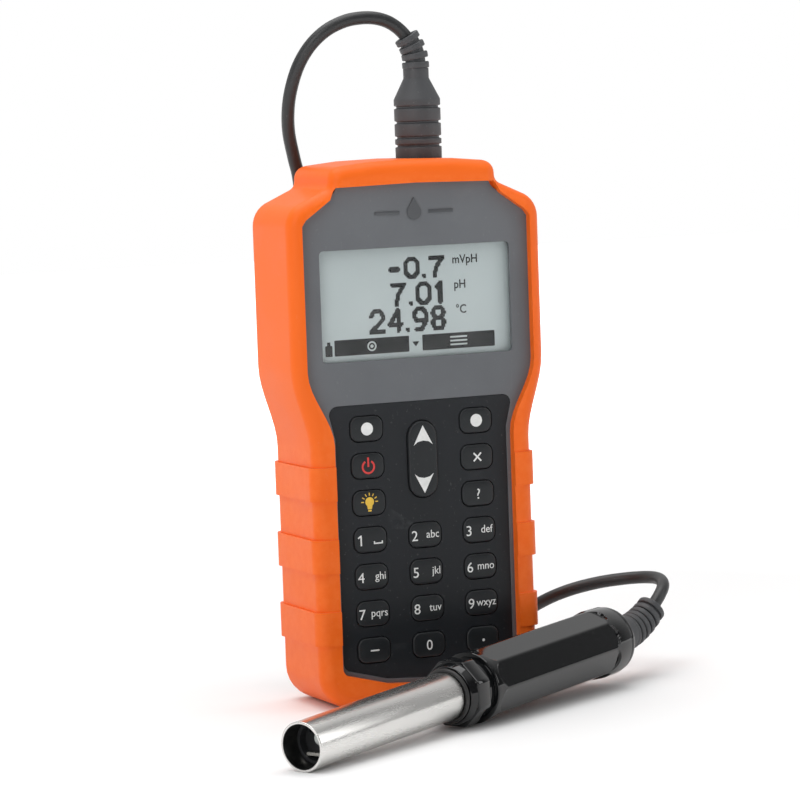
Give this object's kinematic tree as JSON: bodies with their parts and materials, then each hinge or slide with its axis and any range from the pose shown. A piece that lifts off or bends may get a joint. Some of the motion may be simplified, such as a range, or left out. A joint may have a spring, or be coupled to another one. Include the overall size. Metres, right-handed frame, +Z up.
{
  "type": "handheld water quality meter with probe",
  "caption": "Upright handheld water quality meter in a rubber boot, with a display, a keypad, and a steel-sleeved probe on a cord plugged into its top.",
  "frame": {"origin": "centre of the meter's base, on the surface it stands on", "axes": "+Z up, the meter's display and keypad face -Y, +X to the right of someone who reads the display"},
  "size_m": [0.1924, 0.2285, 0.2355],
  "materials": {
    "boot_rubber": "satin",
    "housing_grey": "satin",
    "housing_dark": "satin",
    "black_rubber": "matte",
    "window_clear": "gloss",
    "lcd_glass": "satin",
    "diffuser_white": "matte",
    "board_green": "satin",
    "chip_black": "matte",
    "screw_steel": "satin",
    "keypad_black": "satin",
    "key_black": "satin",
    "rocker_black": "satin",
    "mat_silicone": "matte",
    "nickel": "satin",
    "cell_wrap": "satin",
    "pin_gold": "polished",
    "plug_rubber": "matte",
    "cord_black": "satin",
    "sleeve_steel": "satin",
    "core_black": "satin",
    "bulb_glass": "gloss",
    "handle_gloss": "gloss"
  },
  "bodies": {
    "meter": {"boot": "boot_rubber", "front_housing": "housing_grey", "rear_housing": "housing_dark", "housing_seal": "black_rubber", "display_window": "window_clear", "lcd_panel": "lcd_glass", "lcd_backlight": "diffuser_white", "display_frame": "diffuser_white", "main_board": "board_green", "board_parts": "chip_black", "board_screws": "screw_steel", "keypad_plate": "keypad_black", "key_mat": "mat_silicone", "rocker_cradle": "housing_dark", "probe_socket": "nickel", "socket_insert": "chip_black", "socket_nut": "nickel", "socket_seal": "black_rubber", "case_screws": "screw_steel", "batteries": "cell_wrap", "battery_contacts": "screw_steel", "battery_gasket": "black_rubber"},
    "key_soft_left": {"key_soft_left": "key_black"},
    "key_soft_right": {"key_soft_right": "key_black"},
    "key_power": {"key_power": "key_black"},
    "key_light": {"key_light": "key_black"},
    "key_escape": {"key_escape": "key_black"},
    "key_help": {"key_help": "key_black"},
    "key_1": {"key_1": "key_black"},
    "key_2": {"key_2": "key_black"},
    "key_3": {"key_3": "key_black"},
    "key_4": {"key_4": "key_black"},
    "key_5": {"key_5": "key_black"},
    "key_6": {"key_6": "key_black"},
    "key_7": {"key_7": "key_black"},
    "key_8": {"key_8": "key_black"},
    "key_9": {"key_9": "key_black"},
    "key_minus": {"key_minus": "key_black"},
    "key_0": {"key_0": "key_black"},
    "key_point": {"key_point": "key_black"},
    "rocker": {"rocker_key": "rocker_black"},
    "battery_cover": {"battery_cover": "housing_dark", "cover_screws": "screw_steel"},
    "probe": {"plug_body": "plug_rubber", "plug_shell": "nickel", "plug_pins": "pin_gold", "plug_relief": "plug_rubber", "cord_upper": "cord_black", "cord_coil": "cord_black", "cord_lower": "cord_black", "probe_sleeve": "sleeve_steel", "probe_core": "core_black", "sensor_bulb": "bulb_glass", "temperature_strip": "nickel", "sleeve_seal": "black_rubber", "probe_collar": "handle_gloss", "probe_handle": "handle_gloss", "handle_cap": "handle_gloss", "probe_board": "board_green", "probe_relief": "plug_rubber"}
  },
  "joints": [
    {"name": "press_soft_left", "type": "slide", "parent": "meter", "child": "key_soft_left", "axis": [0, 1, 0], "range_m": [0, 0.0008], "stiffness_N_per_m": 2000},
    {"name": "press_soft_right", "type": "slide", "parent": "meter", "child": "key_soft_right", "axis": [0, 1, 0], "range_m": [0, 0.0008], "stiffness_N_per_m": 2000},
    {"name": "press_power", "type": "slide", "parent": "meter", "child": "key_power", "axis": [0, 1, 0], "range_m": [0, 0.0008], "stiffness_N_per_m": 2000},
    {"name": "press_light", "type": "slide", "parent": "meter", "child": "key_light", "axis": [0, 1, 0], "range_m": [0, 0.0008], "stiffness_N_per_m": 2000},
    {"name": "press_escape", "type": "slide", "parent": "meter", "child": "key_escape", "axis": [0, 1, 0], "range_m": [0, 0.0008], "stiffness_N_per_m": 2000},
    {"name": "press_help", "type": "slide", "parent": "meter", "child": "key_help", "axis": [0, 1, 0], "range_m": [0, 0.0008], "stiffness_N_per_m": 2000},
    {"name": "press_1", "type": "slide", "parent": "meter", "child": "key_1", "axis": [0, 1, 0], "range_m": [0, 0.0008], "stiffness_N_per_m": 2000},
    {"name": "press_2", "type": "slide", "parent": "meter", "child": "key_2", "axis": [0, 1, 0], "range_m": [0, 0.0008], "stiffness_N_per_m": 2000},
    {"name": "press_3", "type": "slide", "parent": "meter", "child": "key_3", "axis": [0, 1, 0], "range_m": [0, 0.0008], "stiffness_N_per_m": 2000},
    {"name": "press_4", "type": "slide", "parent": "meter", "child": "key_4", "axis": [0, 1, 0], "range_m": [0, 0.0008], "stiffness_N_per_m": 2000},
    {"name": "press_5", "type": "slide", "parent": "meter", "child": "key_5", "axis": [0, 1, 0], "range_m": [0, 0.0008], "stiffness_N_per_m": 2000},
    {"name": "press_6", "type": "slide", "parent": "meter", "child": "key_6", "axis": [0, 1, 0], "range_m": [0, 0.0008], "stiffness_N_per_m": 2000},
    {"name": "press_7", "type": "slide", "parent": "meter", "child": "key_7", "axis": [0, 1, 0], "range_m": [0, 0.0008], "stiffness_N_per_m": 2000},
    {"name": "press_8", "type": "slide", "parent": "meter", "child": "key_8", "axis": [0, 1, 0], "range_m": [0, 0.0008], "stiffness_N_per_m": 2000},
    {"name": "press_9", "type": "slide", "parent": "meter", "child": "key_9", "axis": [0, 1, 0], "range_m": [0, 0.0008], "stiffness_N_per_m": 2000},
    {"name": "press_minus", "type": "slide", "parent": "meter", "child": "key_minus", "axis": [0, 1, 0], "range_m": [0, 0.0008], "stiffness_N_per_m": 2000},
    {"name": "press_0", "type": "slide", "parent": "meter", "child": "key_0", "axis": [0, 1, 0], "range_m": [0, 0.0008], "stiffness_N_per_m": 2000},
    {"name": "press_point", "type": "slide", "parent": "meter", "child": "key_point", "axis": [0, 1, 0], "range_m": [0, 0.0008], "stiffness_N_per_m": 2000},
    {"name": "rock_arrows", "type": "hinge", "parent": "meter", "child": "rocker", "pos_m": [0, -0.0114, 0.0829], "axis": [1, 0, 0], "range_deg": [-2.4, 2.4], "stiffness_Nm_per_rad": 0.3},
    {"name": "lift_off_battery_cover", "type": "slide", "parent": "meter", "child": "battery_cover", "axis": [0, 1, 0], "range_m": [0, 0.012]},
    {"name": "unplug_probe", "type": "slide", "parent": "meter", "child": "probe", "axis": [0, 0, 1], "range_m": [0, 0.014]}
  ]
}
